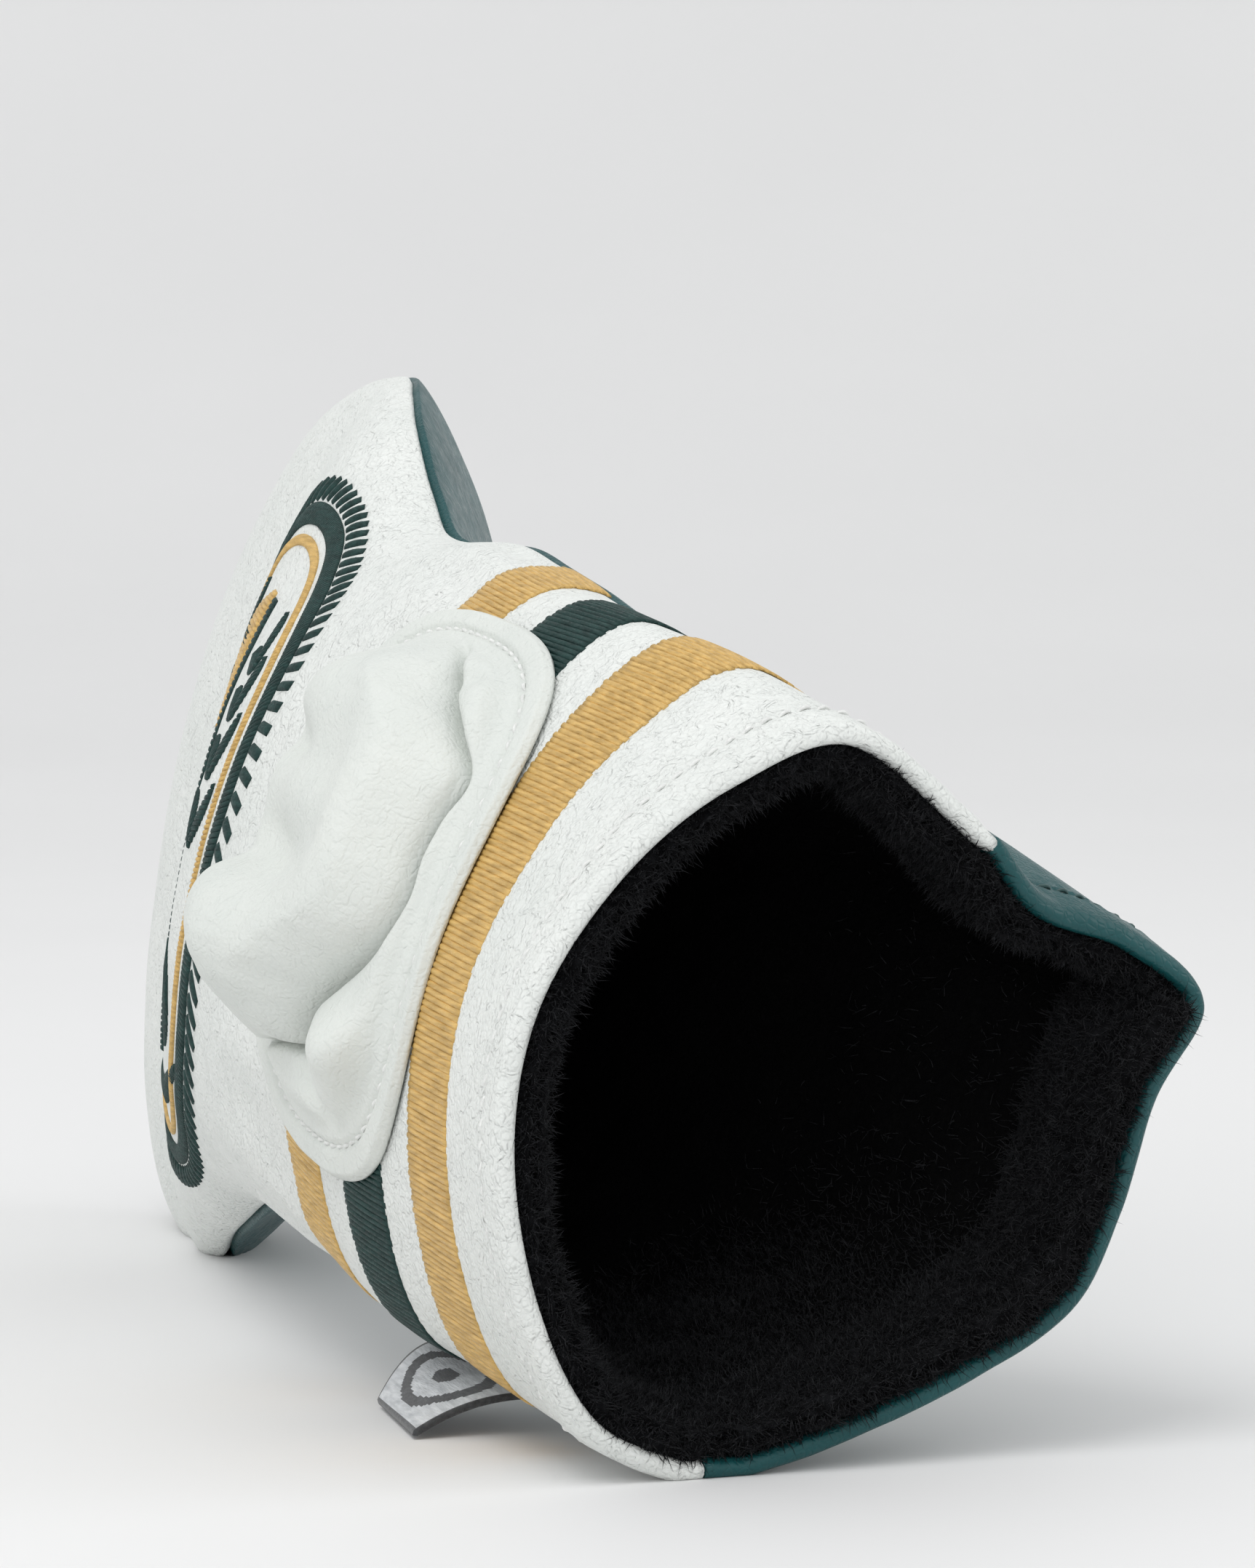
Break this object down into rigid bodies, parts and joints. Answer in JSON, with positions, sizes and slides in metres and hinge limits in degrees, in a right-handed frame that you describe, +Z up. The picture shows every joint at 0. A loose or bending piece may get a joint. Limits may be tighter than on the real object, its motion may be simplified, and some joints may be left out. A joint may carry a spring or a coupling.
{
  "type": "golf club head cover",
  "caption": "Slip-on golf club head cover in two stitched leather panels, with a fleece lining, a gathered neck patch, stripes, an emblem and a side label.",
  "frame": {"origin": "middle of the cover's footprint, on the surface that it lies on", "axes": "+Z up, +Y from the open mouth to the closed head, -X the way the front panel faces"},
  "size_m": [0.1095, 0.2762, 0.1395],
  "materials": {
    "white_leather": "pebbled, satin",
    "green_leather": "smooth, semi-gloss",
    "fleece": "deep pile plush, matte",
    "gold_thread": "satin embroidery, sheen",
    "green_thread": "satin embroidery",
    "white_thread": "matte twisted thread",
    "elastic": "matte woven elastic",
    "woven_label": "woven satin"
  },
  "bodies": {
    "cover": {"front_shell": "white_leather", "back_shell": "green_leather", "front_lining": "fleece", "back_lining": "fleece", "front_rim_band": "fleece", "back_rim_band": "fleece", "stripe_gold_mouth": "gold_thread", "stripe_green": "green_thread", "stripe_gold_neck": "gold_thread", "gather_patch": "white_leather", "gather_elastic": "elastic", "patch_stitch": "white_thread", "front_hem_stitch": "white_thread", "back_hem_stitch": "green_thread", "top_seam_thread": "white_thread", "bottom_seam_thread": "white_thread", "crest_outer_ring": "green_thread", "crest_gold_ring": "gold_thread", "crest_flagstick": "green_thread", "crest_flag": "gold_thread", "crest_ball": "green_thread", "care_label": "woven_label"},
    "label": {"side_label": "woven_label"}
  },
  "joints": [
    {"name": "label_flap", "type": "hinge", "parent": "cover", "child": "label", "pos_m": [-0.02438, -0.08915, 0.00692], "axis": [-0.1849, 0.9716, 0.1479], "range_deg": [-50, 24], "stiffness_Nm_per_rad": 0.002}
  ]
}
